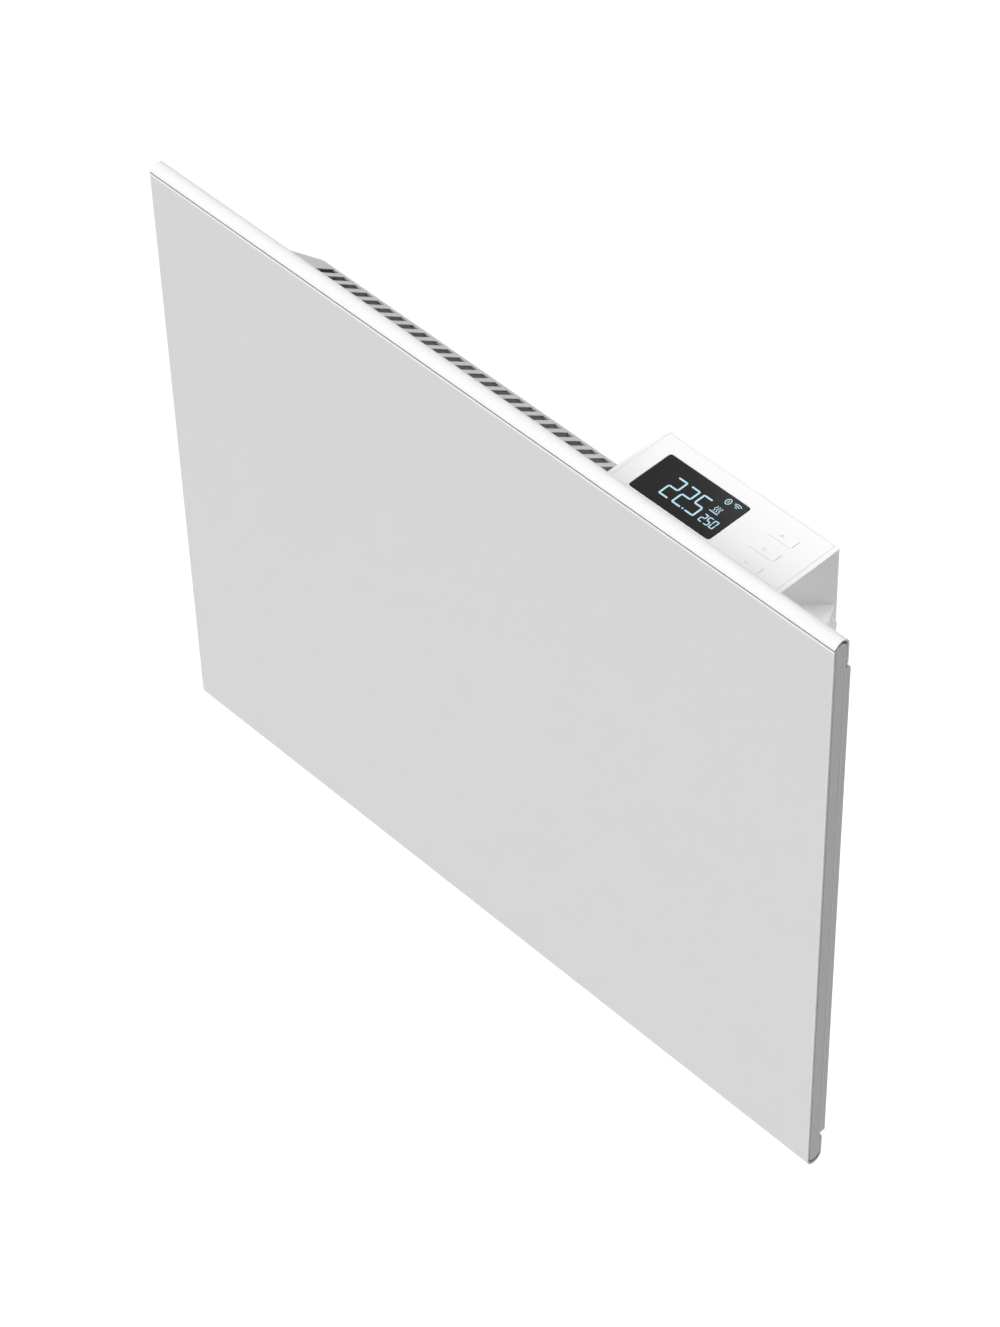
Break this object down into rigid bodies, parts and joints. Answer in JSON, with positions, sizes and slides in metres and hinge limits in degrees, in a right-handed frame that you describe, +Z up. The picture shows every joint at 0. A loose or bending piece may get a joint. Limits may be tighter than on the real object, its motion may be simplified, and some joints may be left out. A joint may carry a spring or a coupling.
{
  "type": "wall panel convector heater",
  "caption": "White wall-hung panel convector heater with a folded front panel, slotted sloping rear casing, top control housing with display and buttons, and a wall bracket.",
  "frame": {"origin": "middle of the wall bracket's back face, in the plane of the wall", "axes": "+X to the right seen from the front, +Y into the wall, +Z up"},
  "size_m": [0.48, 0.086, 0.4],
  "materials": {
    "panel_paint": "matte pale powder paint on folded steel sheet, whiter on the rolled edges",
    "casing_paint": "satin pale powder paint on folded steel sheet",
    "bracket_paint": "white powder paint on folded steel",
    "housing_plastic": "white moulded plastic, smooth satin gloss",
    "button_plastic": "white moulded plastic keys with small grey marks",
    "black_glass": "flush black display glass with pale blue segments lit behind it",
    "bare_steel": "bare zinc-plated steel",
    "aluminium_fins": "extruded bare aluminium",
    "ceramic": "unglazed steatite ceramic",
    "circuit_board": "green solder-masked glass-fibre board",
    "dark_plastic": "dark grey moulded plastic",
    "spacer_rubber": "grey rubber",
    "wire_sleeve": "braided heat-proof wire sleeve"
  },
  "bodies": {
    "root": {"front_panel": "panel_paint", "panel_back_plate": "panel_paint", "rear_casing": "casing_paint", "control_housing": "housing_plastic", "control_top_cover": "housing_plastic", "display_window": "black_glass", "display_module": "dark_plastic", "control_pcb": "circuit_board", "power_relay": "dark_plastic", "supply_transformer": "dark_plastic", "supply_capacitor": "dark_plastic", "wireless_module": "bare_steel", "switch_body": "housing_plastic", "terminal_block": "dark_plastic", "cable_inlet_bush": "housing_plastic", "cable_clamp": "dark_plastic", "heating_fins": "aluminium_fins", "heating_rod": "bare_steel", "limiter_bracket": "bare_steel", "thermal_limiter": "dark_plastic", "sensor_clip": "housing_plastic", "room_sensor": "dark_plastic", "wall_bracket": "bracket_paint", "tact_switch_plus": "dark_plastic", "tact_switch_ok": "dark_plastic", "tact_switch_minus": "dark_plastic", "pcb_screw_left": "bare_steel", "clamp_screw_left": "bare_steel", "element_bush_left": "ceramic", "element_bracket_left": "bare_steel", "wall_spacer_left": "spacer_rubber", "pcb_screw_right": "bare_steel", "clamp_screw_right": "bare_steel", "element_bush_right": "ceramic", "element_bracket_right": "bare_steel", "wall_spacer_right": "spacer_rubber", "casing_screw_left_upper": "bare_steel", "casing_screw_left_lower": "bare_steel", "casing_screw_right": "bare_steel", "casing_screw_top": "bare_steel", "casing_screw_bottom_left": "bare_steel", "casing_screw_bottom_right": "bare_steel", "housing_screw_top": "bare_steel", "housing_screw_side": "bare_steel", "lead_live": "wire_sleeve", "lead_limiter": "wire_sleeve", "lead_neutral": "wire_sleeve", "lead_sensor": "wire_sleeve"},
    "button_plus": {"button_plus": "button_plastic", "tact_plunger_plus": "dark_plastic"},
    "button_ok": {"button_ok": "button_plastic", "tact_plunger_ok": "dark_plastic"},
    "button_minus": {"button_minus": "button_plastic", "tact_plunger_minus": "dark_plastic"},
    "switch_rocker": {"switch_rocker": "button_plastic"}
  },
  "joints": [
    {"name": "press_plus", "type": "slide", "parent": "root", "child": "button_plus", "axis": [0, 0, -1], "range_m": [0, 0.0008], "stiffness_N_per_m": 1200, "springref_m": -0.0005},
    {"name": "press_ok", "type": "slide", "parent": "root", "child": "button_ok", "axis": [0, 0, -1], "range_m": [0, 0.0008], "stiffness_N_per_m": 1200, "springref_m": -0.0005},
    {"name": "press_minus", "type": "slide", "parent": "root", "child": "button_minus", "axis": [0, 0, -1], "range_m": [0, 0.0008], "stiffness_N_per_m": 1200, "springref_m": -0.0005},
    {"name": "switch_tip", "type": "hinge", "parent": "root", "child": "switch_rocker", "pos_m": [0.18548, -0.02554, 0.1195], "axis": [-0.5735, 0.8192, 0], "range_deg": [-18, 0]}
  ]
}
